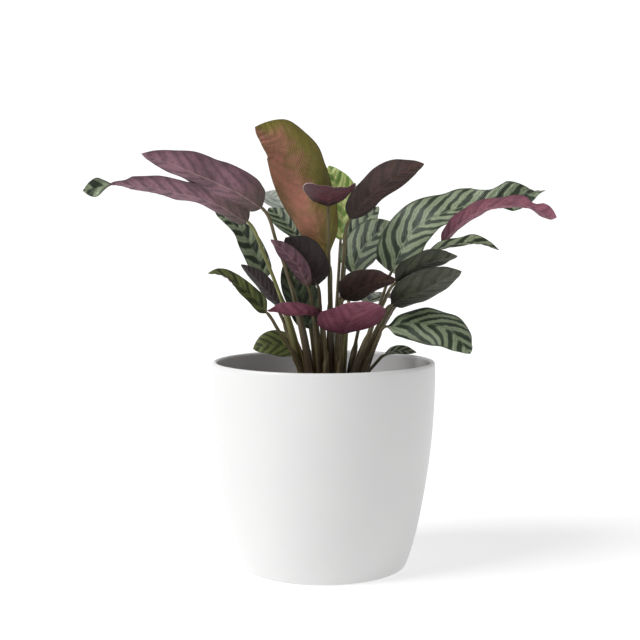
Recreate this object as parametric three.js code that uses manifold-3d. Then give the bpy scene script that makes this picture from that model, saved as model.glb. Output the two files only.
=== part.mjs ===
// A ctenanthe in its nursery pot, stood in a round white cover pot.
// Millimetres, +Z up, front towards -Y. The origin is the centre of the cover pot's underside.
import * as THREE from "three";
import Module from "manifold-3d";

const wasm = await Module();
wasm.setup();

const GAP = 0.3; // between pieces that rest on each other

// Cover pot
const POT_RIM_RADIUS = 75;
const POT_HEIGHT = 139;
const POT_WALL = 3.2;
const POT_FLOOR = 4;
const POT_FOOT_RADIUS = 54;
const POT_SEGMENTS = 48;
// Radius and height of the outside, from just above the rounded foot to the start of the lip.
const POT_OUTSIDE = [
  [57, 4],
  [62.7, 23],
  [69.1, 56],
  [73.3, 90],
  [POT_RIM_RADIUS, 122],
  [POT_RIM_RADIUS, POT_HEIGHT - POT_WALL / 2],
];
const POT_OUTSIDE_STEPS = 9;

// Nursery pot
const INNER_RIM_RADIUS = 60;
const INNER_BASE_RADIUS = 43;
const INNER_HEIGHT = 110;
const INNER_WALL = 1.2;
const INNER_COLLAR = 12; // height of the wider band below its rim
const INNER_STEP = 2.5; // how far the collar stands out from the wall below it
const INNER_SEGMENTS = 36;
const DRAIN_HOLES = 8;
const DRAIN_RADIUS = 5;
const DRAIN_RING = 30;

// Soil
const SOIL_BELOW_RIM = 9;
const SOIL_SEGMENTS = 36;

// Leaf stalks
const STEM_SIDES = 6;
const STEM_RINGS = 7;
const SHEATH_RADIUS = 2.3; // at the soil
const STALK_RADIUS = 1.4; // at the blade
const FOOT_SPACING = 5.2;
const CLUMP_X = 5;
const CLUMP_RADIUS = 14.5;
const LEAN_AT_EDGE = 0.4; // sideways for each millimetre up, of the outermost stalks

// Leaf blades
const BLADE_THICKNESS = 0.8;
// How far along the blade, and the share of its half width there.
const BLADE_OUTLINE = [
  [0.015, 0.1],
  [0.07, 0.52],
  [0.17, 0.82],
  [0.31, 0.97],
  [0.47, 1],
  [0.63, 0.94],
  [0.78, 0.75],
  [0.91, 0.4],
  [0.98, 0.12],
];
// Places across the blade between one edge (1) and the other (-1).
const ACROSS = [0.6, 0.2, -0.2, -0.6];

// Each leaf: the midrib from the stalk to the tip, half the width, the way its top side faces at
// the base and at the tip, how many degrees the edges rise towards the top side, and how far along
// it is widest.
const LEAVES = {
  left_long: {
    midrib: [[-50, -14, 232], [-75, -18, 246], [-102, -22, 253], [-132, -27, 256], [-155, -31, 252]],
    half: 12, top: [0, 0.55, 0.85], cup: 20, widest: 0.32,
  },
  left_upper: {
    midrib: [[-40, -29, 241], [-58, -33, 252], [-86, -39, 264], [-115, -46, 275]],
    half: 16, top: [0, 0.7, 0.7], cup: 20, widest: 0.4,
  },
  left_striped: {
    midrib: [[-40, 12, 194], [-46, 11, 210], [-56, 8, 226], [-73, 4, 239]],
    half: 8, top: [-0.2, -0.8, 0.55], cup: 10, widest: 0.36,
  },
  left_dark: {
    midrib: [[-29, -2, 176], [-42, -4, 191], [-55, -7, 204]],
    half: 8, top: [0.3, 0.7, 0.65], cup: 15, widest: 0.5,
  },
  left_olive: {
    midrib: [[-37, -18, 172], [-52, -22, 187], [-64, -26, 197], [-75, -30, 199]],
    half: 8, top: [-0.2, -0.5, 0.84], cup: 10, widest: 0.5,
  },
  left_low: {
    midrib: [[-17, 16, 145], [-33, 13, 148], [-48, 9, 146]],
    half: 11, top: [0, -0.75, 0.65], cup: 10, widest: 0.5,
  },
  left_inner: {
    midrib: [[-9, 2, 160], [-16, 4, 182], [-26, 7, 205]],
    half: 13, top: [0.2, -0.8, 0.5], cup: 10, widest: 0.5,
  },
  back_pale: {
    midrib: [[-26, 36, 240], [-36, 66, 250], [-46, 102, 254]],
    half: 15, top: [0, -0.3, 0.95], cup: 15, widest: 0.5,
  },
  back_left: {
    midrib: [[-16, 18, 220], [-27, 25, 232], [-38, 32, 242]],
    half: 10, top: [0.3, -0.75, 0.6], cup: 15, widest: 0.5,
  },
  back_lime: {
    midrib: [[12, 44, 219], [13, 49, 244], [4, 52, 272]],
    half: 14, top: [0, -1, 0.1], cup: 15, widest: 0.5,
  },
  back_upper: {
    midrib: [[17, 33, 212], [26, 40, 228], [39, 46, 243]],
    half: 9, top: [-0.2, -0.8, 0.5], cup: 10, widest: 0.5,
  },
  back_right: {
    midrib: [[20, 23, 196], [27, 27, 213], [37, 31, 224], [50, 35, 231]],
    half: 15, top: [-0.3, -0.8, 0.5], cup: 10, widest: 0.5,
  },
  back_low: {
    midrib: [[29, 20, 177], [41, 48, 180], [61, 82, 172]],
    half: 13, top: [0.1, 0, 0.99], cup: 10, widest: 0.45,
  },
  tall: {
    midrib: [[4, -2, 203], [-4, -5, 232], [-14, -8, 258], [-25, -11, 283], [-45, -14, 294]],
    half: 19, top: [0, 1, 0], cup: 15, widest: 0.62,
  },
  saddle: {
    midrib: [[3, -20, 242], [4, -44, 250], [7, -68, 253]],
    half: 18, top: [0, 0.2, 1], cup: 35, widest: 0.5,
  },
  right_upper: {
    midrib: [[17, -18, 233], [31, -26, 249], [48, -33, 263], [64, -38, 269]],
    half: 13, top: [-0.3, 0.75, 0.55], cup: 10, widest: 0.5,
  },
  right_big: {
    midrib: [[46, 12, 198], [62, 11, 228], [100, 6, 244], [148, -1, 253]],
    half: 17, top: [-0.1, -0.8, 0.55], topTip: [0, -0.5, 0.85], cup: 8, widest: 0.32,
  },
  right_purple: {
    midrib: [[78, -4, 217], [87, -8, 228], [105, -14, 241], [129, -20, 243], [151, -26, 235]],
    half: 9, top: [0, 0.45, 0.9], cup: 10, widest: 0.5,
  },
  right_thin: {
    midrib: [[66, -13, 210], [82, -18, 216], [98, -22, 219], [114, -26, 214]],
    half: 8, top: [0, -0.35, 0.94], cup: 10, widest: 0.5,
  },
  right_shade_upper: {
    midrib: [[47, -18, 192], [68, -22, 205], [87, -26, 210]],
    half: 12, top: [-0.1, 0.6, 0.8], cup: 10, widest: 0.5,
  },
  right_shade_lower: {
    midrib: [[44.5, -11.5, 177], [65, -17, 187], [90, -23, 200]],
    half: 15, top: [-0.3, 0.75, 0.6], cup: 10, widest: 0.5,
  },
  right_low: {
    midrib: [[41, -14, 163], [60, -20, 166], [83, -27, 161], [95, -34, 147]],
    half: 18, top: [0.2, -0.6, 0.77], cup: -10, widest: 0.56,
  },
  rim_right: {
    midrib: [[41, 12, 141], [51, 8, 145], [63, 4, 144]],
    half: 5, top: [0, -0.5, 0.85], cup: 10, widest: 0.5,
  },
  front_right: {
    midrib: [[13, -24, 159], [19, -46, 172], [26, -66, 183]],
    half: 22, top: [-0.1, 0.45, 0.87], cup: 10, widest: 0.5,
  },
  front_left: {
    midrib: [[-2, -22, 171], [-16, -34, 174], [-36, -46, 176]],
    half: 9, top: [0, 0.5, 0.87], cup: 10, widest: 0.5,
  },
  front_narrow: {
    midrib: [[-10, -20, 189], [-19, -28, 206], [-34, -38, 221]],
    half: 7, top: [0.3, 0.8, 0.5], cup: 10, widest: 0.5,
  },
  centre_dark: {
    midrib: [[-4, -14, 190], [-12, -18, 208], [-25, -22, 222]],
    half: 13, top: [0.2, 0.9, 0.4], cup: 10, widest: 0.5,
  },
  mid_purple: {
    midrib: [[13, -20, 181], [28, -29, 191], [46, -38, 196]],
    half: 15, top: [-0.1, 0.6, 0.8], cup: 10, widest: 0.5,
  },
};

const INNER_Z = POT_FLOOR + GAP;
const SOIL_Z = INNER_Z + INNER_HEIGHT - SOIL_BELOW_RIM;
const UP = new THREE.Vector3(0, 0, 1);

const part = new THREE.Group();

function add(name, geometry) {
  const mesh = new THREE.Mesh(geometry, new THREE.MeshStandardMaterial());
  mesh.name = name;
  part.add(mesh);
}

// A solid of revolution about Z from radius and height pairs.
function turned(outline, segments) {
  const profile = outline.map(([r, z]) => new THREE.Vector2(r, z));
  return new THREE.LatheGeometry(profile, segments).rotateX(Math.PI / 2);
}

// A closed solid through rings of equally many points, each running round the direction of travel,
// closed by a point at each end. The two halves of a ring are split into triangles as mirror
// images, so a blade's top and underside stay parallel where it twists.
function loft(start, rings, end) {
  const count = rings[0].length;
  const points = [start, ...rings.flat(), end];
  const last = points.length - 1;
  const faces = [];
  for (let i = 0; i < count; i++) {
    const j = (i + 1) % count;
    faces.push(0, 1 + j, 1 + i);
    for (let r = 0; r < rings.length - 1; r++) {
      const here = 1 + r * count;
      const next = here + count;
      const corner = i < count / 2 ? next + i : next + j;
      const other = i < count / 2 ? here + j : here + i;
      faces.push(here + i, here + j, corner, other, next + j, next + i);
    }
    const top = last - count;
    faces.push(top + i, top + j, last);
  }
  return new THREE.BufferGeometry().setFromPoints(points).setIndex(faces);
}

function coverPot() {
  const wall = new THREE.SplineCurve(POT_OUTSIDE.map(([r, z]) => new THREE.Vector2(r, z)));
  const outside = wall.getPoints(POT_OUTSIDE_STEPS).map((p) => [p.x, p.y]);
  const inside = outside
    .map(([r, z]) => [r - POT_WALL, z])
    .filter(([, z]) => z > POT_FLOOR + POT_WALL)
    .reverse();
  const [innerFoot] = inside[inside.length - 1];
  return turned(
    [
      [0, 0],
      [POT_FOOT_RADIUS, 0],
      [POT_FOOT_RADIUS + 1.6, 0.8],
      ...outside,
      [POT_RIM_RADIUS - POT_WALL * 0.18, POT_HEIGHT - POT_WALL * 0.12],
      [POT_RIM_RADIUS - POT_WALL / 2, POT_HEIGHT],
      [POT_RIM_RADIUS - POT_WALL * 0.82, POT_HEIGHT - POT_WALL * 0.12],
      ...inside,
      [innerFoot - 1.5, POT_FLOOR + 0.8],
      [innerFoot - 4, POT_FLOOR],
      [0, POT_FLOOR],
    ],
    POT_SEGMENTS,
  );
}

// Radius of the nursery pot's outside at a height above its base, below the collar.
function innerRadius(height) {
  const top = INNER_RIM_RADIUS - INNER_STEP;
  return INNER_BASE_RADIUS + ((top - INNER_BASE_RADIUS) * height) / (INNER_HEIGHT - INNER_COLLAR);
}

function nurseryPot() {
  const collar = INNER_HEIGHT - INNER_COLLAR;
  const shell = turned(
    [
      [0, 0],
      [INNER_BASE_RADIUS - 2, 0],
      [INNER_BASE_RADIUS, 2],
      [innerRadius(collar), collar],
      [INNER_RIM_RADIUS, collar + 1],
      [INNER_RIM_RADIUS, INNER_HEIGHT - 0.6],
      [INNER_RIM_RADIUS - INNER_WALL / 2, INNER_HEIGHT],
      [INNER_RIM_RADIUS - INNER_WALL, INNER_HEIGHT - 0.6],
      [INNER_RIM_RADIUS - INNER_WALL, collar + 2],
      [innerRadius(collar) - INNER_WALL, collar + 1],
      [INNER_BASE_RADIUS - INNER_WALL, 2 + INNER_WALL],
      [INNER_BASE_RADIUS - 2 - INNER_WALL, INNER_WALL],
      [0, INNER_WALL],
    ],
    INNER_SEGMENTS,
  ).translate(0, 0, INNER_Z);
  const holes = [];
  for (let i = 0; i < DRAIN_HOLES; i++) {
    const turn = (2 * Math.PI * i) / DRAIN_HOLES;
    const x = DRAIN_RING * Math.cos(turn);
    const y = DRAIN_RING * Math.sin(turn);
    holes.push(
      wasm.Manifold.cylinder(3 * INNER_WALL, DRAIN_RADIUS, DRAIN_RADIUS, 16)
        .translate([x, y, INNER_Z - INNER_WALL]),
    );
  }
  return cut(shell, holes);
}

// The geometry with the given manifold solids taken away.
function cut(geometry, solids) {
  const positions = geometry.getAttribute("position");
  const mesh = new wasm.Mesh({
    numProp: 3,
    vertProperties: new Float32Array(positions.array),
    triVerts: new Uint32Array(geometry.index.array),
  });
  mesh.merge();
  const whole = new wasm.Manifold(mesh);
  const left = solids.reduce((solid, tool) => solid.subtract(tool), whole).getMesh();
  return new THREE.BufferGeometry()
    .setAttribute("position", new THREE.BufferAttribute(left.vertProperties, 3))
    .setIndex(new THREE.BufferAttribute(left.triVerts, 1));
}

function soil() {
  const inset = INNER_WALL + 2 * GAP;
  const bottom = INNER_WALL + GAP;
  const collar = INNER_HEIGHT - INNER_COLLAR;
  const top = SOIL_Z - INNER_Z;
  return turned(
    [
      [0, bottom],
      [INNER_BASE_RADIUS - 2 - inset, bottom],
      [innerRadius(2 + inset) - inset, 2 + inset],
      [innerRadius(collar) - inset, collar],
      [innerRadius(collar) - inset, top - 1.5],
      [innerRadius(collar) - inset - 3, top],
      [CLUMP_RADIUS + 8, top],
      [0, top],
    ],
    SOIL_SEGMENTS,
  ).translate(0, 0, INNER_Z);
}

// Where each stalk meets the soil: the more it leans, the nearer the edge of the clump, and each
// clear of the others.
function stalkFeet() {
  const feet = Object.values(LEAVES).map(({ midrib: [base] }) => {
    const away = new THREE.Vector2(base[0] - CLUMP_X, base[1]);
    const lean = away.length() / (base[2] - SOIL_Z);
    return away.setLength(CLUMP_RADIUS * Math.min(1, lean / LEAN_AT_EDGE));
  });
  for (let round = 0; round < 200; round++) {
    feet.forEach((a, i) =>
      feet.slice(i + 1).forEach((b) => {
        const between = b.clone().sub(a);
        const lack = FOOT_SPACING - between.length();
        if (lack > 0) {
          const push = between.setLength(lack / 2);
          a.sub(push);
          b.add(push);
        }
      }),
    );
  }
  return feet.map((foot) => new THREE.Vector3(CLUMP_X + foot.x, foot.y, SOIL_Z + GAP));
}

function stalk(foot, base, into) {
  const span = base.distanceTo(foot);
  const end = base.clone().addScaledVector(into, -2 * GAP);
  const low = foot.clone().addScaledVector(UP, span * 0.3);
  const high = end.clone().addScaledVector(into, -span * 0.12).lerp(foot.clone().lerp(end, 0.7), 0.5);
  const curve = new THREE.CubicBezierCurve3(foot, low, high, end);
  const frames = curve.computeFrenetFrames(STEM_RINGS - 1);
  const rings = frames.tangents.map((_, k) => {
    const along = k / (STEM_RINGS - 1);
    const centre = curve.getPointAt(along);
    const radius = THREE.MathUtils.lerp(SHEATH_RADIUS, STALK_RADIUS, Math.sqrt(along));
    return Array.from({ length: STEM_SIDES }, (unused, i) => {
      const turn = (2 * Math.PI * i) / STEM_SIDES;
      return centre
        .clone()
        .addScaledVector(frames.normals[k], radius * Math.cos(turn))
        .addScaledVector(frames.binormals[k], radius * Math.sin(turn));
    });
  });
  return loft(foot, rings, end);
}

function blade({ midrib, half, top, topTip = top, cup, widest }) {
  const curve = new THREE.CatmullRomCurve3(midrib.map((p) => new THREE.Vector3(...p)), false, "centripetal");
  const warp = Math.log(widest) / Math.log(0.5);
  const bend = THREE.MathUtils.degToRad(cup) || 1e-6;
  const rings = BLADE_OUTLINE.map(([share, width]) => {
    const along = share ** warp;
    const centre = curve.getPointAt(along);
    const ahead = curve.getTangentAt(along);
    const facing = new THREE.Vector3(...top).lerp(new THREE.Vector3(...topTip), along);
    const side = facing.cross(ahead).normalize();
    const up = ahead.clone().cross(side);
    const reach = half * width;
    // A point at a place across the blade, on its top or its underside.
    const at = (across, lift) => {
      const turn = across * bend;
      return centre
        .clone()
        .addScaledVector(side, (reach / bend) * Math.sin(turn) - lift * Math.sin(turn))
        .addScaledVector(up, (reach / bend) * (1 - Math.cos(turn)) + lift * Math.cos(turn));
    };
    const rise = BLADE_THICKNESS / 2;
    return [
      at(1, 0),
      ...ACROSS.map((across) => at(across, rise)),
      at(-1, 0),
      ...ACROSS.map((across) => at(-across, -rise)),
    ];
  });
  return loft(curve.getPoint(0), rings, curve.getPoint(1));
}

add("cover_pot", coverPot());
add("nursery_pot", nurseryPot());
add("soil", soil());
const feet = stalkFeet();
Object.entries(LEAVES).forEach(([name, leaf], i) => {
  const [base, next] = leaf.midrib.slice(0, 2).map((p) => new THREE.Vector3(...p));
  add("stem_" + name, stalk(feet[i], base, next.sub(base).normalize()));
  add("leaf_" + name, blade(leaf));
});

export default part;
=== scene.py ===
import math
import random

import bpy
import numpy as np
from mathutils import Matrix, Vector, noise


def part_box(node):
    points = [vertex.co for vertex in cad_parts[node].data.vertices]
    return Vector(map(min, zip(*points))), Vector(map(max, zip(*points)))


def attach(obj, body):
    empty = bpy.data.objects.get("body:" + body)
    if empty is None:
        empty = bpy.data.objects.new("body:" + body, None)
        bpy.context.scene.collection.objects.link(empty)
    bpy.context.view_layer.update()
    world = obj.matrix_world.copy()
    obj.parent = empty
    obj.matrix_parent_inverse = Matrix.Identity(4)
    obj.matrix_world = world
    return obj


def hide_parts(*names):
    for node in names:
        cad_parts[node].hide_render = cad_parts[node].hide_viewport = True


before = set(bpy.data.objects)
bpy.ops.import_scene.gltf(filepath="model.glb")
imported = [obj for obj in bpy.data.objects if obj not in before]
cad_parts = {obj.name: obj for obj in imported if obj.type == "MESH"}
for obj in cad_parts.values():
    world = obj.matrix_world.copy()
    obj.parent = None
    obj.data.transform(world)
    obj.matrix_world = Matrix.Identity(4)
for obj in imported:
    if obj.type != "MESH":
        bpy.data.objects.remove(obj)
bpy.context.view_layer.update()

MM = 0.001

# Leaf blades. At a distance w from the midrib, a side vein is VEIN_REACH * w + VEIN_CURVE * w**2
# nearer the tip than where it started. A short blade still has VEINS_LEAST of them. The veins of the
# two halves are VEIN_STAGGER of a spacing apart. Each half rises by FOLD for each step out.
BLADE_ROW = 0.7 * MM
BLADE_ROWS_LEAST = 24
BLADE_COLUMNS = 24
ROW_CROWDING = 0.6
COLUMN_CROWDING = 0.5
BLADE_THICKNESS = 0.36 * MM
VEIN_SPACING = 11.5 * MM
VEINS_LEAST = 4.5
VEIN_REACH = 0.85
VEIN_CURVE = 42.0
VEIN_RELIEF = 0.36 * MM
FOLD = 0.16
VEIN_STAGGER = 0.35
MIDRIB_WIDTH = 0.55 * MM
MIDRIB_RELIEF = 0.4 * MM
MIDRIB_GROOVE = 0.14 * MM
MIDRIB_AT_TIP = 0.15
MIDRIB_AT_ENDS = 0.4
MARGIN_WAVE = 2.2 * MM
MARGIN_WAVE_LENGTH = 13 * MM
BLADE_SWELL = 1.6 * MM
BLADE_SWELL_LENGTH = 20 * MM
SWELL_SEED = 50
RELIEF_FADE = 6 * MM
NECK_PINCH = 0.45
CURL_QUICKENING = 1.5
# Blades that keep the CAD part's own cross-section, with no fold added
UNFOLDED = ("saddle", "front_right", "left_long", "right_low")
# Where along the blade each curled tip starts, how much wider its end is, and how far it rolls over.
CURLS = {
    "left_long": (0.72, 2.2, -150),
    "right_big": (0.62, 0.9, 140),
    "right_purple": (0.75, 1.8, -20),
}

# Stalks. The sheath wraps the lower SHEATH_SHARE of a stalk, and above it the stalk is STALK_SHARE as
# thick as the CAD part's. A shoot's length is a share of its neighbours', from SHOOT_SHARE.
STALK_ROWS = 48
STALK_SIDES = 18
SHEATH_SHARE = 0.56
SHEATH_SLANT = 0.07
SHEATH_SWELL = 1.25
SHEATH_TAPER = 0.2
SHEATH_EDGE = 0.02
SHEATH_THICKNESS = 0.5 * MM
SHEATH_LAP = 0.5
STALK_SHARE = 0.75
STALK_GROOVES = 7
STALK_GROOVE = 0.06 * MM
STALK_SINK = 2.0 * MM
STALK_REACH = 2.5 * MM
STALK_END_RADIUS = 0.55 * MM
SHOOT_ROWS = 20
SHOOT_SHARE = (0.3, 0.5)
SHOOT_RADIUS = 2.3 * MM
SHOOT_TIP_RADIUS = 0.2 * MM
SHOOT_POINT = 2.2
SHOOT_GREEN = 0.5

# Pots. A wall is read from one column of the CAD node's points: those within COLUMN_DEGREES of an
# azimuth and further out than WALL_FROM of the widest. NURSERY_COLUMN is an azimuth with no drain hole.
POT_SIDES = 160
POT_WALL_STEPS = 48
LIP_STEPS = 6
CORNER_DEGREES = 20
COLUMN_DEGREES = 0.5
NURSERY_COLUMN = 20
WALL_FROM = 0.6
POT_EDGE = 0.9 * MM
FOOT_RING = 5 * MM
FOOT_SLOPE = 0.8
FOOT_RECESS = 0.8 * MM
PLASTIC_EDGE = 0.4 * MM
HOLE_SIDES = 24
HOLE_REACH = 12 * MM
HOLES_WITHIN = 0.62
HOLE_BELOW = 1 * MM
HOLE_ABOVE = 3 * MM

# Soil, and the grains that lie on it
SOIL_SIDES = 120
SOIL_RINGS = 44
SOIL_LUMP = 1.6 * MM
SOIL_LUMP_SIZE = 7 * MM
SOIL_EDGE_DROP = 1.5 * MM
SOIL_SMOOTHING = 0.7
SOIL_OCTAVES = 4
SOIL_LACUNARITY = 2.0
SOIL_TOP = 0.5 * MM
GRAINS = 420
GRAINS_WITHIN = 0.96
GRAIN_RADIUS = (0.7 * MM, 2.0 * MM)
GRAIN_SIDES = 8
GRAIN_RINGS = 5
GRAIN_HEIGHT = 0.7
GRAIN_LUMP = 0.45
GRAIN_LUMPS = 1.6
GRAIN_RISE = 0.1
PALE_GRAIN_SHARE = 0.18

# Noise in the materials, as lumps per metre
VEIN_WOBBLE = 70
LEAF_PATCHES = 130
LEAF_CLOUDS = 48
TOP_MOTTLE = 420
UNDER_MOTTLE = 380
STALK_MOTTLE = 260
GLAZE_CLOUDS = 28
GLAZE_MOTTLE = 900
PLASTIC_MOTTLE = 500
EARTH_MOTTLE = 520
PERLITE_MOTTLE = 1500
FLOOR_CLOUDS = 3
# Noise round a stalk, as lumps per radius, and the number of fine veins from one side vein to the next
STALK_STREAKS = 3.2
FINE_VEINS = 7

# Camera, floor and light
CAMERA_AT = Vector((-2.4 * MM, -850 * MM, 231 * MM))
CAMERA_DOWN = 4.35
CAMERA_LENS = 71.3
CAMERA_SENSOR = 36
FLOOR_SIZE = 60.0
FLOOR_GLOW = 0.56
ROOM_LIGHT = 0.36
BACKDROP_LIGHT = 1.08
BACKDROP_FROM = 0.55
BACKDROP_TO = 0.95
KEY_LIGHT = 2.5
KEY_SOFTNESS = 34
KEY_TRAVELS = (0.7, 0.3, -0.68)

TURN = 2 * math.pi

rng = random.Random(7)


# ---------------------------------------------------------------- shapes read from the CAD part


def welded(node):
    """A CAD node's points, each once, and its faces as lists of point numbers."""
    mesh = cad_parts[node].data
    corners = np.array([v.co for v in mesh.vertices])
    points, number = np.unique(np.round(corners, 6), axis=0, return_inverse=True)
    number = number.reshape(-1)
    return points, [[int(number[i]) for i in p.vertices] for p in mesh.polygons]


def neighbours(faces):
    """For each point, the points that share an edge with it."""
    near = {}
    for face in faces:
        for a, b in zip(face, face[1:] + face[:1]):
            near.setdefault(a, set()).add(b)
            near.setdefault(b, set()).add(a)
    return near


def levels(near, start):
    """The points in groups, by how many edges they are from start."""
    seen, groups = {start}, [[start]]
    while True:
        ring = sorted({b for a in groups[-1] for b in near[a]} - seen)
        if not ring:
            return groups
        seen.update(ring)
        groups.append(ring)


def distance(a, b):
    """How far apart two points are."""
    return float(np.linalg.norm(np.subtract(a, b)))


def stalk_line(name):
    """The middle and the radius of a CAD stalk at each of its rings, from the soil up."""
    points, faces = welded("stem_" + name)
    near = neighbours(faces)
    reach = {p: max(distance(points[p], points[q]) for q in near[p]) for p in near}
    ends = sorted(sorted(near, key=reach.get)[:2], key=lambda p: points[p][2])
    groups = levels(near, ends[0])[1:-1]
    middles = [points[g].mean(axis=0) for g in groups]
    radii = [np.linalg.norm(points[g] - m, axis=1).mean() for g, m in zip(groups, middles)]
    return np.array(middles), np.array(radii)


def blade_rings(name, stalk_end):
    """A CAD blade's rings from base to tip, and its base and tip points. Each ring starts at the same
    margin and goes over the upper face first."""
    points, faces = welded("leaf_" + name)
    near = neighbours(faces)
    most = max(len(q) for q in near.values())
    ends = [p for p in near if len(near[p]) == most]
    ends.sort(key=lambda p: distance(points[p], stalk_end))
    groups = levels(near, ends[0])
    level = {p: k for k, group in enumerate(groups) for p in group}
    after = {}
    for face in faces:
        for a, b, c in (face, face[1:] + face[:1], face[2:] + face[:2]):
            if level[a] == level[b] == level[c] - 1:
                after[a] = b
    rings, first = [], None
    for k, group in enumerate(groups[1:-1], start=1):
        ahead = {p: [q for q in near[p] if level[q] == k + 1] for p in group}
        if k < len(groups) - 2:
            first = next(p for p in group if len(ahead[p]) == 1)
            on = ahead[first][0]
        else:
            first = on
        ring = [first]
        while len(ring) < len(group):
            ring.append(after[ring[-1]])
        rings.append(points[ring])
    return np.array(rings), points[groups[0][0]], points[groups[-1][0]]


def smooth(knots, values, at):
    """A smooth curve through values at knots, read off at each place in at."""
    slopes = np.gradient(values, knots, axis=0)
    i = np.clip(np.searchsorted(knots, at, side="right") - 1, 0, len(knots) - 2)
    gap = knots[i + 1] - knots[i]
    t = (at - knots[i]) / gap
    shape = (-1,) + (1,) * (values.ndim - 1)
    t, gap = t.reshape(shape), gap.reshape(shape)
    start = (2 * t**3 - 3 * t**2 + 1) * values[i] + (t**3 - 2 * t**2 + t) * gap * slopes[i]
    end = (3 * t**2 - 2 * t**3) * values[i + 1] + (t**3 - t**2) * gap * slopes[i + 1]
    return start + end


def unit(v):
    """Each vector in v at length 1."""
    return v / np.maximum(np.linalg.norm(v, axis=-1, keepdims=True), 1e-12)


# ---------------------------------------------------------------- meshes


def placed(name, data):
    """A new object in the scene."""
    made = bpy.data.objects.new(name, data)
    bpy.context.scene.collection.objects.link(made)
    return made


def mesh_object(name, points, faces, materials, face_material=None, data=None):
    """A smooth-shaded object that rides on the part. face_material gives each face the number of its
    material, and data gives each point a vector called "place"."""
    mesh = bpy.data.meshes.new(name)
    mesh.from_pydata([tuple(p) for p in points], [], faces)
    for m in materials:
        mesh.materials.append(m)
    mesh.polygons.foreach_set("use_smooth", [True] * len(mesh.polygons))
    if face_material is not None:
        mesh.polygons.foreach_set("material_index", face_material)
    if data is not None:
        place = mesh.attributes.new("place", "FLOAT_VECTOR", "POINT")
        place.data.foreach_set("vector", np.asarray(data, dtype=float).reshape(-1))
    mesh.update()
    made = placed(name, mesh)
    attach(made, "root")
    return made


def loft_faces(rings, sides):
    """Faces of rings of the same number of points, closed by one point at each end. Points are numbered
    ring by ring, then the start point, then the end point."""
    start = rings * sides
    end = start + 1
    faces = []
    for s in range(sides):
        faces.append((start, (s + 1) % sides, s))
    for r in range(rings - 1):
        for s in range(sides):
            a, b = r * sides + s, r * sides + (s + 1) % sides
            faces.append((a, b, b + sides, a + sides))
    last = (rings - 1) * sides
    for s in range(sides):
        faces.append((last + s, last + (s + 1) % sides, end))
    return faces


def lathe(profile, sides):
    """Points and faces of a profile turned about Z. Its (radius, height) pairs start on the axis at the
    base, go up the outside, and end on the axis."""
    wall = profile[1:-1]
    points = []
    for radius, height in wall:
        for s in range(sides):
            angle = TURN * s / sides
            points.append((radius * math.cos(angle), radius * math.sin(angle), height))
    points += [(0, 0, profile[0][1]), (0, 0, profile[-1][1])]
    return points, loft_faces(len(wall), sides)


# ---------------------------------------------------------------- materials


def colour(red, green, blue):
    """A screen colour, 0 to 255, as the linear colour a shader takes."""

    def linear(c):
        c /= 255
        return c / 12.92 if c <= 0.04045 else ((c + 0.055) / 1.055) ** 2.4

    return (linear(red), linear(green), linear(blue), 1)


class Look:
    """A material's node tree, with short names for the nodes that the materials here share."""

    def __init__(self, name, roughness, specular=0.5):
        self.material = bpy.data.materials.new(name)
        self.material.use_nodes = True
        self.tree = self.material.node_tree
        self.shader = self.tree.nodes["Principled BSDF"]
        self.shader.inputs["Roughness"].default_value = roughness
        self.shader.inputs["Specular IOR Level"].default_value = specular

    def put(self, socket, value):
        """Link value to the socket if it is another node's output, or else set it there."""
        if isinstance(value, bpy.types.NodeSocket):
            self.tree.links.new(value, socket)
        else:
            socket.default_value = value

    def node(self, kind, inputs, output=0, **settings):
        """One output of a new node with these inputs and settings."""
        made = self.tree.nodes.new("ShaderNode" + kind)
        for key, value in settings.items():
            setattr(made, key, value)
        for key, value in inputs.items():
            self.put(made.inputs[key], value)
        return made.outputs[output]

    def math(self, operation, *values):
        return self.node("Math", dict(enumerate(values)), operation=operation)

    def step(self, value, low, high):
        """0 at low, 1 at high, and smooth between. low may be the larger of the two."""
        inputs = {0: value, 1: low, 2: high}
        return self.node("MapRange", inputs, interpolation_type="SMOOTHSTEP")

    def mix(self, share, first, second):
        """The first colour where share is 0, and the second where it is 1."""
        inputs = {0: share, 6: first, 7: second}
        return self.node("Mix", inputs, output=2, data_type="RGBA")

    def over(self, shade, paint, value, none, full, most=1.0):
        """shade with paint laid over it, from nothing where value is none to most where it is full."""
        cover = self.step(value, none, full)
        if most < 1:
            cover = self.math("MULTIPLY", cover, most)
        return self.mix(cover, shade, paint)

    def position(self):
        return self.node("TexCoord", {}, output="Object")

    def grain(self, scale, detail=3.0, vector=None):
        inputs = {"Vector": vector or self.position(), "Scale": scale, "Detail": detail}
        return self.node("TexNoise", inputs)

    def place(self):
        """The three numbers that each point carries."""
        vector = self.node("Attribute", {}, output="Vector", attribute_name="place")
        parts = self.tree.nodes.new("ShaderNodeSeparateXYZ")
        self.put(parts.inputs[0], vector)
        return parts.outputs[0], parts.outputs[1], parts.outputs[2]

    def rough(self, share, low, high):
        """Roughness from low to high as share goes from 0 to 1."""
        inputs = {0: share, 3: low, 4: high}
        self.put(self.shader.inputs["Roughness"], self.node("MapRange", inputs))

    def bump(self, height, strength, depth):
        inputs = {"Height": height, "Strength": strength, "Distance": depth}
        self.put(self.shader.inputs["Normal"], self.node("Bump", inputs))

    def paint(self, value):
        self.put(self.shader.inputs["Base Color"], value)
        return self.material


def side_veins(look, phase, uneven=1.1):
    """1 along each side vein and 0 halfway to the next, wavering a little."""
    wobble = look.math("SUBTRACT", look.grain(VEIN_WOBBLE, 3), 0.5)
    turns = look.math("MULTIPLY_ADD", wobble, uneven, phase)
    wave = look.math("COSINE", look.math("MULTIPLY", turns, TURN))
    return look.math("MULTIPLY_ADD", wave, 0.5, 0.5)


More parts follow.
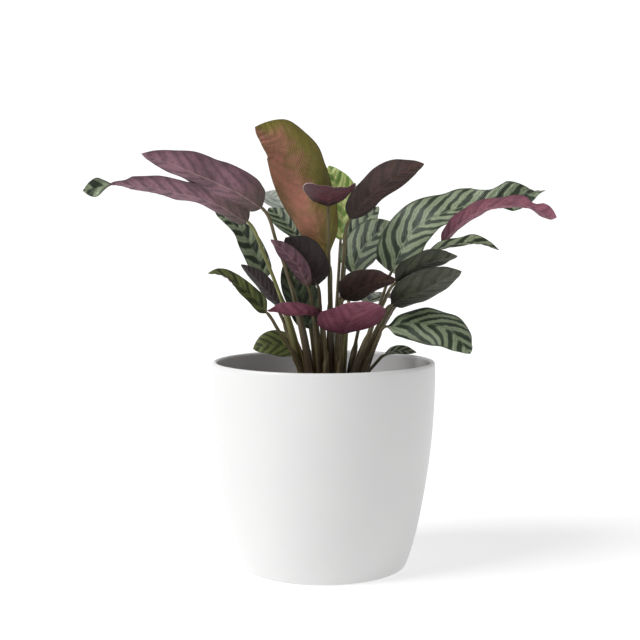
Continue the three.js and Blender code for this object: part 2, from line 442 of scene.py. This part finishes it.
def fine_veins(look, phase):
    """1 along each fine vein and -1 between."""
    return look.math("COSINE", look.math("MULTIPLY", phase, FINE_VEINS * TURN))


def darker(shade, share):
    """A colour at a share of its brightness, which may be over 1."""
    return [c * share for c in shade[:3]] + [1]


def blade_top(name, ground, band, share):
    """The upper face: pale feathers between dark bands that follow the side veins, a thin dark line down
    the middle of each feather, and a dark margin. share is how much of the face is dark."""
    look = Look(name, 0.42)
    phase, across, _ = look.place()
    edge = look.math("ABSOLUTE", across)
    veins = side_veins(look, phase)
    fine = fine_veins(look, phase)
    patch = look.grain(LEAF_PATCHES, 3)
    mottle = look.grain(TOP_MOTTLE, 5)
    # The pale feathers, mottled, with fine veins and a dark line between each two side veins
    shade = look.over(ground, darker(ground, 0.8), mottle, 0.3, 0.75)
    shade = look.over(shade, darker(ground, 0.62), fine, -0.4, 1.8)
    shade = look.over(shade, band, veins, 0.08, 0.0, most=0.3)
    # The dark bands, a little wider towards the margin
    height = look.math("MULTIPLY_ADD", patch, 0.35, veins)
    low = look.math("MULTIPLY_ADD", edge, 0.18, 1.0 - share)
    dark = look.mix(patch, darker(band, 0.75), darker(band, 1.35))
    shade = look.over(shade, dark, look.math("SUBTRACT", height, low), -0.24, 0.4)
    # The margin and the midrib
    shade = look.over(shade, darker(band, 1.5), edge, 0.86, 1.0)
    shade = look.over(shade, darker(ground, 0.5), edge, 0.05, 0.015)
    look.rough(mottle, 0.34, 0.52)
    look.bump(look.math("MULTIPLY_ADD", fine, 0.5, mottle), 0.45, 0.3 * MM)
    return look.paint(shade)


def blade_under(name, ground, band, midrib, foot, other=None, rim=None, veil=0.5):
    """The underside: a ground with cloudy darker bands that show through from above, a paler midrib,
    and the foot colour towards the stalk, which is painted shade from the crowded stalks, for some
    leaves over a real olive tint. other is a second ground that takes over towards one margin,
    and rim the colour of a thin margin. veil is how strongly the bands show."""
    look = Look(name, 0.5, specular=0.4)
    phase, across, along = look.place()
    edge = look.math("ABSOLUTE", across)
    fine = fine_veins(look, phase)
    mottle = look.grain(UNDER_MOTTLE, 5)
    cloud = look.grain(LEAF_CLOUDS, 3)
    uneven = look.math("SUBTRACT", cloud, 0.5)
    if other is not None:
        side = look.math("MULTIPLY_ADD", uneven, 2.4, across)
        ground = look.over(ground, other, side, -0.45, 0.5)
    # The bands and everything that dims the ground towards their colour
    shade = look.over(ground, band, side_veins(look, phase, 1.6), 0.35, 1.0, most=veil)
    shade = look.over(shade, band, cloud, 0.42, 0.68, most=0.6)
    shade = look.over(shade, band, edge, 0.55, 1.0, most=0.45)
    shade = look.over(shade, band, mottle, 0.4, 0.75, most=0.3)
    shade = look.over(shade, band, fine, 0.1, 1.2, most=0.3)
    # The foot, mostly painted shade towards the stalk, then the midrib and the rim
    shade = look.over(shade, foot, look.math("MULTIPLY_ADD", uneven, 0.5, along), 0.3, 0.02, most=0.85)
    shade = look.over(shade, midrib, edge, 0.045, 0.012, most=0.5)
    if rim is not None:
        shade = look.over(shade, rim, edge, 0.955, 0.985)
    look.rough(mottle, 0.36, 0.56)
    look.bump(look.math("MULTIPLY_ADD", fine, 0.6, mottle), 0.45, 0.35 * MM)
    return look.paint(shade)


def stalk_look(name, low, high, streak):
    """A stalk: brownish at the soil, greener above, with streaks along it."""
    look = Look(name, 0.42)
    along, cosine, sine = look.place()
    stretched = look.math("MULTIPLY", along, 0.5)
    vector = look.node("CombineXYZ", {0: stretched, 1: cosine, 2: sine})
    lines = look.grain(STALK_STREAKS, 4, vector)
    mottle = look.grain(STALK_MOTTLE, 4)
    shade = look.over(low, high, along, 0.1, 0.75)
    shade = look.over(shade, streak, lines, 0.45, 0.7, most=0.8)
    shade = look.over(shade, low, mottle, 0.5, 0.8, most=0.45)
    look.rough(mottle, 0.34, 0.55)
    look.bump(lines, 0.4, 0.4 * MM)
    return look.paint(shade)


def glaze_look():
    """The cover pot's white glaze, a little uneven in gloss."""
    look = Look("white_glaze", 0.36, specular=0.45)
    cloud = look.grain(GLAZE_CLOUDS, 3)
    fine = look.grain(GLAZE_MOTTLE, 2)
    look.rough(cloud, 0.32, 0.42)
    look.bump(fine, 0.12, 0.1 * MM)
    return look.paint(look.mix(cloud, colour(218, 218, 218), colour(223, 223, 222)))


def plastic_look():
    """The nursery pot's dark moulded plastic."""
    look = Look("nursery_plastic", 0.5)
    mottle = look.grain(PLASTIC_MOTTLE, 3)
    look.rough(mottle, 0.42, 0.62)
    look.bump(mottle, 0.2, 0.1 * MM)
    return look.paint(look.mix(mottle, colour(44, 42, 41), colour(62, 59, 57)))


def earth_look():
    """Moist potting mix."""
    look = Look("earth", 0.9, specular=0.2)
    crumbs = look.grain(EARTH_MOTTLE, 8)
    look.rough(crumbs, 0.8, 1.0)
    look.bump(crumbs, 0.8, 0.8 * MM)
    return look.paint(look.over(colour(30, 22, 17), colour(78, 58, 43), crumbs, 0.35, 0.65))


def perlite_look():
    """The pale porous grains in the potting mix."""
    look = Look("perlite", 0.85, specular=0.2)
    crumbs = look.grain(PERLITE_MOTTLE, 5)
    look.bump(crumbs, 0.6, 0.4 * MM)
    return look.paint(look.mix(crumbs, colour(196, 190, 178), colour(232, 229, 220)))


# ---------------------------------------------------------------- leaves and stalks

TOPS = {
    "sage": blade_top("top_sage", colour(150, 163, 130), colour(34, 47, 28), 0.5),
    "olive": blade_top("top_olive", colour(112, 120, 66), colour(52, 62, 28), 0.42),
    "lime": blade_top("top_lime", colour(200, 212, 132), colour(110, 140, 62), 0.4),
    "pale": blade_top("top_pale", colour(186, 192, 182), colour(120, 130, 116), 0.35),
    # The shade top is the sage top drawn darker: painted shade for leaves that hang in shadow.
    "shade": blade_top("top_painted_shade", colour(84, 98, 68), colour(32, 42, 26), 0.5),
}
# Feet that undersides turn to near the stalk. The olive foot is an olive tint darkened by painted shade,
# and the shaded foot is painted shade.
OLIVE_FOOT = colour(62, 50, 34)
SHADED_FOOT = colour(34, 26, 24)
UNDERS = {
    "mauve": blade_under(
        "under_mauve", colour(146, 104, 118), colour(64, 40, 50), colour(170, 138, 134), OLIVE_FOOT
    ),
    "purple": blade_under(
        "under_purple", colour(158, 94, 112), colour(98, 54, 70), colour(148, 98, 106),
        colour(92, 50, 66),
    ),
    # The dark underside is painted shade: a purple underside drawn nearly black where it hangs in
    # shadow.
    "dark": blade_under(
        "under_painted_shade", colour(58, 40, 42), colour(28, 22, 22), colour(76, 58, 54), SHADED_FOOT
    ),
    "rimmed": blade_under(
        "under_rimmed", colour(104, 54, 66), colour(58, 32, 42), colour(96, 58, 64), SHADED_FOOT,
        rim=colour(196, 170, 168),
    ),
    "wine": blade_under(
        "under_wine", colour(104, 54, 66), colour(58, 32, 42), colour(118, 78, 82), SHADED_FOOT
    ),
    "brown": blade_under(
        "under_brown", colour(82, 56, 52), colour(40, 30, 28), colour(98, 74, 62), SHADED_FOOT
    ),
    # The grey underside is painted shade: an underside drawn dark grey-olive as it looks in shadow.
    "grey": blade_under(
        "under_grey", colour(82, 84, 68), colour(38, 44, 32), colour(104, 100, 86), SHADED_FOOT
    ),
    # The half underside's pink-brown ground is partly its own colour and partly a painted glow of light
    # shining through the leaf.
    "half": blade_under(
        "under_half", colour(176, 112, 98), colour(96, 78, 34), colour(136, 108, 62),
        colour(132, 124, 52), other=colour(128, 122, 50), veil=0.22,
    ),
}
# The upper face and the underside of each leaf
LOOKS = {
    "left_long": ("sage", "mauve"),
    "left_upper": ("sage", "mauve"),
    "left_striped": ("sage", "wine"),
    "left_dark": ("shade", "dark"),
    "left_olive": ("olive", "wine"),
    "left_low": ("olive", "wine"),
    "left_inner": ("shade", "dark"),
    "back_pale": ("pale", "grey"),
    "back_left": ("sage", "wine"),
    "back_lime": ("lime", "wine"),
    "back_upper": ("sage", "wine"),
    "back_right": ("sage", "wine"),
    "back_low": ("sage", "wine"),
    "tall": ("sage", "half"),
    "saddle": ("sage", "rimmed"),
    "right_upper": ("sage", "brown"),
    "right_big": ("sage", "wine"),
    "right_purple": ("sage", "purple"),
    "right_thin": ("sage", "grey"),
    "right_shade_upper": ("shade", "grey"),
    "right_shade_lower": ("shade", "grey"),
    "right_low": ("sage", "wine"),
    "rim_right": ("sage", "wine"),
    "front_right": ("sage", "purple"),
    "front_left": ("sage", "purple"),
    "front_narrow": ("sage", "mauve"),
    "centre_dark": ("shade", "dark"),
    "mid_purple": ("sage", "brown"),
}
GREEN_STALK = stalk_look(
    "stalk_green", colour(92, 82, 46), colour(116, 118, 64), colour(172, 172, 112)
)
BROWN_STALK = stalk_look(
    "stalk_brown", colour(62, 46, 34), colour(84, 74, 46), colour(128, 114, 74)
)
STALK_LOOKS = {"left_long": GREEN_STALK, "back_right": GREEN_STALK, "tall": GREEN_STALK}


def lengths(line):
    """How far along a line of points each one is."""
    return np.concatenate([[0], np.cumsum(np.linalg.norm(np.diff(line, axis=0), axis=1))])


def crowded(count, share):
    """count steps from 0 to 1, the closer together towards both ends the nearer share is to 1."""
    even = np.linspace(0, 1, count + 1)
    return share * (1 - np.cos(math.pi * even)) / 2 + (1 - share) * even


def blade_sheet(name, stalk_end):
    """The blade's middle surface as a fine grid of points, with rows from base to tip and columns
    across. Also the direction of its upper face at each row, how far along each row lies, how far
    across each column lies, from 1 to -1, and the blade's base and tip points."""
    rings, base, tip = blade_rings(name, stalk_end)
    half = rings.shape[1] // 2
    top, under = rings[:, 1:half], rings[:, : half : -1]
    middle = (top + under) / 2
    rows = np.concatenate([rings[:, :1], middle, rings[:, half : half + 1]], axis=1)
    first, last = (np.repeat(p[None, None], half + 1, axis=1) for p in (base, tip))
    rows = np.concatenate([first, rows, last])
    run = lengths(rows.mean(axis=1))
    count = max(BLADE_ROWS_LEAST, round(run[-1] / BLADE_ROW))
    along = crowded(count, ROW_CROWDING)[1:-1] * run[-1]
    knots = 1 - 2 * np.arange(half + 1) / half
    across = 1 - 2 * crowded(BLADE_COLUMNS, COLUMN_CROWDING)
    coarse = smooth(run, rows, along)
    sheet = smooth(-knots, coarse.transpose(1, 0, 2), -across).transpose(1, 0, 2)
    up = smooth(run[1:-1], unit((top - under).mean(axis=1)), along)
    return sheet, up, along, across, base, tip


def curled(sheet, along, start, flare, turn):
    """The sheet with its last part, from start on, first pinched to a neck, then flared and rolled over
    about its own middle line by turn degrees."""
    share = np.clip((along / along[-1] - start) / (1 - start), 0, 1)
    spine = sheet[:, BLADE_COLUMNS // 2]
    ahead = unit(np.gradient(spine, axis=0))
    size = 1 - NECK_PINCH * np.sin(math.pi * np.clip(share * 2, 0, 1)) + flare * share**2
    angle = math.radians(turn) * share**CURL_QUICKENING
    made = sheet.copy()
    for k in range(len(sheet)):
        roll = Matrix.Rotation(angle[k], 3, Vector(ahead[k]))
        made[k] = spine[k] + (sheet[k] - spine[k]) @ np.array(roll).T * size[k]
    return made


def waves(points, size, seed):
    """Smooth noise from about -1 to 1 at each point."""
    flat = points.reshape(-1, 3) / size
    shift = Vector((seed * 3.7, seed * 1.3, seed * 2.1))
    values = [noise.noise(Vector(p) + shift) for p in flat]
    return np.array(values).reshape(points.shape[:-1])


def build_blade(name, number):
    """A blade on the CAD blade's middle surface, with side veins, a midrib and a wavy margin. number
    gives it waves of its own."""
    middles, _ = stalk_line(name)
    sheet, up, along, across, base, tip = blade_sheet(name, middles[-1])
    if name in CURLS:
        sheet = curled(sheet, along, *CURLS[name])
    forward = np.gradient(sheet, axis=0)
    sideways = np.gradient(sheet, axis=1)
    normal = unit(np.cross(forward, sideways))
    half = len(sheet) // 2
    normal = normal * np.sign((normal[:half] * up[:half, None]).sum())
    reach = np.array([lengths(row) for row in sheet])
    out = reach - reach[:, [BLADE_COLUMNS // 2]]
    width = np.abs(out)
    edge = np.abs(across)[None]
    phase = along[:, None] - VEIN_REACH * width - VEIN_CURVE * width**2
    phase = phase / min(VEIN_SPACING, along[-1] / VEINS_LEAST) + VEIN_STAGGER * (out > 0)
    inside = (1 - edge**4) * np.clip(width / MIDRIB_WIDTH, 0, 1)
    relief = VEIN_RELIEF * np.cos(2 * TURN * phase) * inside
    wave = MARGIN_WAVE * edge**3 * waves(sheet, MARGIN_WAVE_LENGTH, number)
    swell = BLADE_SWELL * waves(sheet, BLADE_SWELL_LENGTH, number + SWELL_SEED)
    fade = np.clip(np.minimum(along, along[-1] - along) / RELIEF_FADE, 0, 1)[:, None]
    fold = 0 if name in UNFOLDED else FOLD
    lift = (relief + wave + swell + fold * width) * fade
    left = 1 - along[:, None] / along[-1]
    rib = np.exp(-((width / MIDRIB_WIDTH) ** 2))
    thick = BLADE_THICKNESS / 2 * (1 - edge**6) * np.ones_like(width)
    above = sheet + normal * (lift + thick - MIDRIB_GROOVE * rib * fade)[..., None]
    taper = MIDRIB_AT_TIP + (1 - MIDRIB_AT_TIP) * left
    ridge = MIDRIB_RELIEF * rib * taper * np.minimum(fade + MIDRIB_AT_ENDS, 1)
    below = sheet + normal * (lift - thick - ridge)[..., None]
    margin = sheet + normal * lift[..., None]
    # Each ring goes over the upper face from margin to margin, and back along the underside.
    over = list(range(1, BLADE_COLUMNS))
    back = over[::-1]
    points = np.concatenate([margin[:, :1], above[:, over], margin[:, -1:], below[:, back]], axis=1)
    order = [0] + over + [BLADE_COLUMNS] + back
    rows, sides = points.shape[:2]
    share = (along / along[-1])[:, None]
    columns = [phase[:, order], np.tile(across[order], (rows, 1)), np.tile(share, sides)]
    data = np.stack(columns, axis=2)
    points = np.concatenate([points.reshape(-1, 3), [base, tip]])
    data = np.concatenate([data.reshape(-1, 3), [[0, 0, 0], [0, 0, 1]]])
    under = [int(s >= BLADE_COLUMNS) for s in range(sides)]
    top_name, under_name = LOOKS[name]
    leaf = mesh_object(
        "leaf_" + name + "_blade", points, loft_faces(rows, sides),
        [TOPS[top_name], UNDERS[under_name]], under * (rows + 1), data,
    )
    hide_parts("leaf_" + name)


def build_stalk(name):
    """The stalk, from just under the soil to just inside the blade: a wrapped sheath below, and a
    thinner stalk above that runs out into the blade's midrib."""
    middles, radii = stalk_line(name)
    rings, base, _ = blade_rings(name, middles[-1])
    into = rings[1].mean(axis=0)
    foot = middles[0] - [0, 0, STALK_SINK]
    line = np.concatenate([[foot], middles, [base + unit(into - base) * STALK_REACH]])
    run = lengths(line)
    radii = np.concatenate([[radii[0]], radii, [STALK_END_RADIUS]])
    at = np.linspace(0, run[-1], STALK_ROWS)
    path, radius = smooth(run, line, at), np.interp(at, run, radii)
    along = at / run[-1]
    ahead = unit(np.gradient(path, axis=0))
    side = unit(np.cross([0, 1, 0], ahead[0]))
    turn = rng.uniform(0, TURN)
    points, data = [], []
    for k in range(STALK_ROWS):
        side = unit(side - ahead[k] * np.dot(side, ahead[k]))
        other = np.cross(ahead[k], side)
        for s in range(STALK_SIDES):
            angle = TURN * s / STALK_SIDES
            # How far below the sheath's slanting end this point is, as a share of the stalk
            sheath = SHEATH_SHARE + SHEATH_SLANT * math.cos(angle - turn) - along[k]
            wrap = min(max(sheath / SHEATH_EDGE, 0), 1)
            grow = 1 + (SHEATH_SWELL - 1) * min(max(sheath / SHEATH_TAPER, 0), 1)
            # The sheath thickens round the stalk to where it laps over its own edge.
            lap = SHEATH_LAP + (1 - SHEATH_LAP) * ((angle - turn) % TURN) / TURN
            size = radius[k] * (STALK_SHARE + (grow - STALK_SHARE) * wrap)
            size += SHEATH_THICKNESS * wrap * lap
            size += STALK_GROOVE * math.cos(STALK_GROOVES * angle)
            points.append(path[k] + size * (math.cos(angle) * side + math.sin(angle) * other))
            data.append((along[k], math.cos(angle), math.sin(angle)))
    points += [path[0], path[-1]]
    data += [(0, 0, 0), (1, 0, 0)]
    stalk = mesh_object(
        "stem_" + name + "_stalk", points, loft_faces(STALK_ROWS, STALK_SIDES),
        [STALK_LOOKS.get(name, BROWN_STALK)], data=data,
    )
    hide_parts("stem_" + name)


def build_shoots():
    """Short pointed young shoots, each one rising between two neighbouring stalks."""
    lines = {name: stalk_line(name)[0] for name in LOOKS}
    feet = {name: line[0] for name, line in lines.items()}
    points, faces, data = [], [], []
    for name in list(LOOKS)[::2]:
        mate = min((n for n in LOOKS if n != name), key=lambda n: distance(feet[n], feet[name]))
        middle = (lines[name] + lines[mate]) / 2
        run = np.linspace(0, 1, len(middle))
        at = np.linspace(0, rng.uniform(*SHOOT_SHARE), SHOOT_ROWS)
        path = smooth(run, middle, at) - [0, 0, STALK_SINK]
        start = len(points)
        for k, place in enumerate(path):
            share = k / (SHOOT_ROWS - 1)
            radius = SHOOT_RADIUS * (1 - share**SHOOT_POINT) + SHOOT_TIP_RADIUS
            for s in range(STALK_SIDES):
                angle = TURN * s / STALK_SIDES
                size = radius + STALK_GROOVE * math.cos(STALK_GROOVES * angle)
                points.append(place + [size * math.cos(angle), size * math.sin(angle), 0])
                data.append((SHOOT_GREEN * share, math.cos(angle), math.sin(angle)))
        points += [path[0], path[-1] + [0, 0, SHOOT_TIP_RADIUS]]
        data += [(0, 0, 0), (SHOOT_GREEN, 0, 0)]
        faces += [[start + i for i in f] for f in loft_faces(SHOOT_ROWS, STALK_SIDES)]
    shoots = mesh_object("young_shoots", points, faces, [BROWN_STALK], data=data)


# ---------------------------------------------------------------- pots and soil


def outline(node, azimuth):
    """The (radius, height) corners of a turned CAD node's wall, from the foot up the outside, over the
    rim and down to the floor. azimuth picks a column of its points, in degrees."""
    points, faces = welded(node)
    near = neighbours(faces)
    radius = np.hypot(points[:, 0], points[:, 1])
    turn = np.degrees(np.arctan2(points[:, 1], points[:, 0]))
    on_wall = (abs(turn - azimuth) < COLUMN_DEGREES) & (radius > WALL_FROM * radius.max())
    column = {p for p in near if on_wall[p]}
    here = min(column, key=lambda p: (points[p][2], radius[p]))
    walk = [here]
    while True:
        ahead = (near[here] & column) - set(walk)
        if not ahead:
            break
        here = min(ahead, key=lambda p: distance(points[p], points[here]))
        walk.append(here)
    return [(float(radius[p]), float(points[p][2])) for p in walk]


def turning(path, i):
    """How far a path turns at its point i, in degrees."""
    before, after = np.subtract(path[i], path[i - 1]), np.subtract(path[i + 1], path[i])
    cosine = np.dot(before, after) / np.linalg.norm(before) / np.linalg.norm(after)
    return math.degrees(math.acos(min(1, cosine)))


def flowing(path):
    """The path with a fine smooth curve in place of each run of short, slightly turned steps."""
    corners = [i for i in range(1, len(path) - 1) if turning(path, i) > CORNER_DEGREES]
    marks = [0] + corners + [len(path) - 1]
    made = [path[0]]
    for a, b in zip(marks, marks[1:]):
        run = np.array(path[a : b + 1])
        if len(run) < 4:
            made += [tuple(p) for p in run[1:]]
            continue
        knots = lengths(run)
        at = np.linspace(0, knots[-1], POT_WALL_STEPS + 1)
        made += [tuple(p) for p in smooth(knots, run, at)[1:]]
    return made


def softened(path, reach):
    """The path with each corner rounded, starting up to reach before it."""
    made = [path[0]]
    for i in range(1, len(path) - 1):
        here = np.array(path[i])
        sides = [np.array(path[i - 1]) - here, np.array(path[i + 1]) - here]
        cuts = [here + d * min(reach / np.linalg.norm(d), 0.5) for d in sides]
        steps = LIP_STEPS if turning(path, i) > CORNER_DEGREES / 2 else 0
        if steps == 0:
            made.append(tuple(here))
        for k in range(steps):
            t = (k + 0.5) / steps
            point = (1 - t) ** 2 * cuts[0] + 2 * t * (1 - t) * here + t**2 * cuts[1]
            made.append(tuple(point))
    return made + [path[-1]]


def build_cover_pot():
    """A soft-edged pot with the CAD pot's walls, on a shallow foot ring."""
    wall = outline("cover_pot", 0)
    foot = wall[0][0]
    floor = wall[-1][1]
    base = [(0, FOOT_RECESS), (foot - FOOT_RING, FOOT_RECESS), (foot - FOOT_RING * FOOT_SLOPE, 0)]
    path = softened(base + flowing(wall) + [(0, floor)], POT_EDGE)
    points, faces = lathe(path, POT_SIDES)
    pot = mesh_object("cover_pot_glazed", points, faces, [glaze_look()])
    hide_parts("cover_pot")


def drain_holes():
    """The middle and the radius of each hole cut in the nursery pot's floor."""
    points, _ = welded("nursery_pot")
    low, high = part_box("nursery_pot")
    radius = np.hypot(points[:, 0], points[:, 1])
    on_base = points[:, 2] < low.z + 0.1 * MM
    cut = points[on_base & (radius > MM) & (radius < HOLES_WITHIN * high.x)]
    turn = np.degrees(np.arctan2(cut[:, 1], cut[:, 0]))
    groups, left = [], list(np.argsort(turn))
    while left:
        first = cut[left[0]]
        near = [i for i in left if distance(cut[i], first) < HOLE_REACH]
        left = [i for i in left if i not in near]
        groups.append(cut[near])
    corners = [(g.min(axis=0), g.max(axis=0)) for g in groups]
    return [((b + a) / 2, (b - a)[0] / 2) for a, b in corners]


def build_nursery_pot():
    """The thin plastic pot, with its collar and its drain holes."""
    wall = outline("nursery_pot", NURSERY_COLUMN)
    low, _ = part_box("nursery_pot")
    path = softened([(0, low.z)] + wall + [(0, wall[-1][1])], PLASTIC_EDGE)
    points, faces = lathe(path, POT_SIDES)
    pot = mesh_object("nursery_pot_plastic", points, faces, [plastic_look()])
    for middle, radius in drain_holes():
        ends = [-HOLE_BELOW, HOLE_ABOVE]
        plug = [(0, ends[0]), (radius, ends[0]), (radius, ends[1]), (0, ends[1])]
        points, faces = lathe(plug, HOLE_SIDES)
        points = [(x + middle[0], y + middle[1], z + low.z) for x, y, z in points]
        mesh = bpy.data.meshes.new("hole")
        mesh.from_pydata(points, [], faces)
        cutter = placed("hole", mesh)
        cut = pot.modifiers.new("hole", "BOOLEAN")
        cut.object = cutter
        cut.operation = "DIFFERENCE"
        view = bpy.context.evaluated_depsgraph_get()
        made = bpy.data.meshes.new_from_object(pot.evaluated_get(view))
        pot.modifiers.clear()
        pot.data = made
        bpy.data.objects.remove(cutter)
    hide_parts("nursery_pot")


def soil_lift(x, y, share):
    """How far the soil stands above its mean level. share is how near the place is to the edge."""
    place = Vector((x, y, 0)) / SOIL_LUMP_SIZE
    lumps = noise.fractal(place, SOIL_SMOOTHING, SOIL_LACUNARITY, SOIL_OCTAVES)
    return SOIL_LUMP * lumps - SOIL_EDGE_DROP * share**6


def build_soil():
    """The root ball of potting mix: a lumpy top in the nursery pot, with crumbs and perlite on it."""
    wall = outline("soil", 0)
    low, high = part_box("soil")
    top = [(high.x * (1 - k / SOIL_RINGS), high.z) for k in range(SOIL_RINGS)]
    side = [p for p in wall if p[1] < high.z - MM]
    path = [(0, low.z)] + side + top[1:] + [(0, high.z)]
    points, faces = lathe(path, SOIL_SIDES)
    lumpy = []
    for x, y, z in points:
        if z > high.z - SOIL_TOP:
            z += soil_lift(x, y, math.hypot(x, y) / high.x)
        lumpy.append((x, y, z))
    earth = earth_look()
    soil = mesh_object("soil_mix", lumpy, faces, [earth])
    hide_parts("soil")
    points, faces, paint = [], [], []
    for n in range(GRAINS):
        angle = rng.uniform(0, TURN)
        share = GRAINS_WITHIN * math.sqrt(rng.random())
        x, y = high.x * share * math.cos(angle), high.x * share * math.sin(angle)
        size = rng.uniform(*GRAIN_RADIUS)
        middle = Vector((x, y, high.z + soil_lift(x, y, share) + GRAIN_RISE * size))
        grain_points, grain_faces = crumb(size, n)
        start = len(points)
        points += [tuple(middle + p) for p in grain_points]
        faces += [[start + i for i in f] for f in grain_faces]
        paint += [int(rng.random() < PALE_GRAIN_SHARE)] * len(grain_faces)
    crumbs = mesh_object("soil_crumbs", points, faces, [earth, perlite_look()], paint)


def crumb(size, seed):
    """A rough closed lump, flatter than it is wide."""
    points = []
    for r in range(GRAIN_RINGS):
        tilt = math.pi * (r + 1) / (GRAIN_RINGS + 1)
        for s in range(GRAIN_SIDES):
            turn = TURN * s / GRAIN_SIDES
            out = math.sin(tilt)
            way = Vector((out * math.cos(turn), out * math.sin(turn), -math.cos(tilt)))
            grow = 1 + GRAIN_LUMP * noise.noise(way * GRAIN_LUMPS + Vector((seed, 0, 0)))
            points.append(Vector((way.x, way.y, way.z * GRAIN_HEIGHT)) * size * grow)
    top = Vector((0, 0, GRAIN_HEIGHT * size))
    points += [-top, top]
    return points, loft_faces(GRAIN_RINGS, GRAIN_SIDES)


build_cover_pot()
build_nursery_pot()
build_soil()
for number, name in enumerate(LOOKS):
    build_blade(name, number)
    build_stalk(name)
build_shoots()

# ---------------------------------------------------------------- stage, light and camera

def build_stage():
    """A wide pale floor that glows a little, so that it runs into the backdrop."""
    mesh = bpy.data.meshes.new("floor")
    half = FLOOR_SIZE / 2
    corners = [(-half, -half, 0), (half, -half, 0), (half, half, 0), (-half, half, 0)]
    mesh.from_pydata(corners, [], [(0, 1, 2, 3)])
    look = Look("floor", 0.9, specular=0.0)
    look.shader.inputs["Emission Color"].default_value = (1, 1, 1, 1)
    look.shader.inputs["Emission Strength"].default_value = FLOOR_GLOW
    shade = look.mix(look.grain(FLOOR_CLOUDS), colour(202, 202, 202), colour(206, 206, 206))
    mesh.materials.append(look.paint(shade))
    floor = placed("floor", mesh)


def build_lights():
    """A soft white studio: a world that is brighter behind the object, and a wide lamp on the left."""
    world = bpy.data.worlds.new("studio")
    bpy.context.scene.world = world
    world.use_nodes = True
    tree = world.node_tree
    coordinates = tree.nodes.new("ShaderNodeTexCoord")
    parts = tree.nodes.new("ShaderNodeSeparateXYZ")
    tree.links.new(coordinates.outputs["Generated"], parts.inputs[0])
    strength = tree.nodes.new("ShaderNodeMapRange")
    tree.links.new(parts.outputs["Y"], strength.inputs["Value"])
    strength.inputs["From Min"].default_value = BACKDROP_FROM
    strength.inputs["From Max"].default_value = BACKDROP_TO
    strength.inputs["To Min"].default_value = ROOM_LIGHT
    strength.inputs["To Max"].default_value = BACKDROP_LIGHT
    tree.links.new(strength.outputs[0], tree.nodes["Background"].inputs["Strength"])
    tree.nodes["Background"].inputs["Color"].default_value = (1, 1, 1, 1)
    lamp = bpy.data.lights.new("key", "SUN")
    lamp.energy = KEY_LIGHT
    lamp.angle = math.radians(KEY_SOFTNESS)
    key = placed("key", lamp)
    key.rotation_mode = "QUATERNION"
    key.rotation_quaternion = Vector(KEY_TRAVELS).to_track_quat("-Z", "Y")


def build_camera():
    """The camera, level with the leaves and tilted a little down."""
    lens = bpy.data.cameras.new("camera")
    lens.lens = CAMERA_LENS
    lens.sensor_width = CAMERA_SENSOR
    camera = placed("camera", lens)
    camera.location = CAMERA_AT
    camera.rotation_euler = (math.radians(90 - CAMERA_DOWN), 0, 0)
    bpy.context.scene.camera = camera


build_stage()
build_lights()
build_camera()
bpy.context.scene.view_settings.view_transform = "Standard"
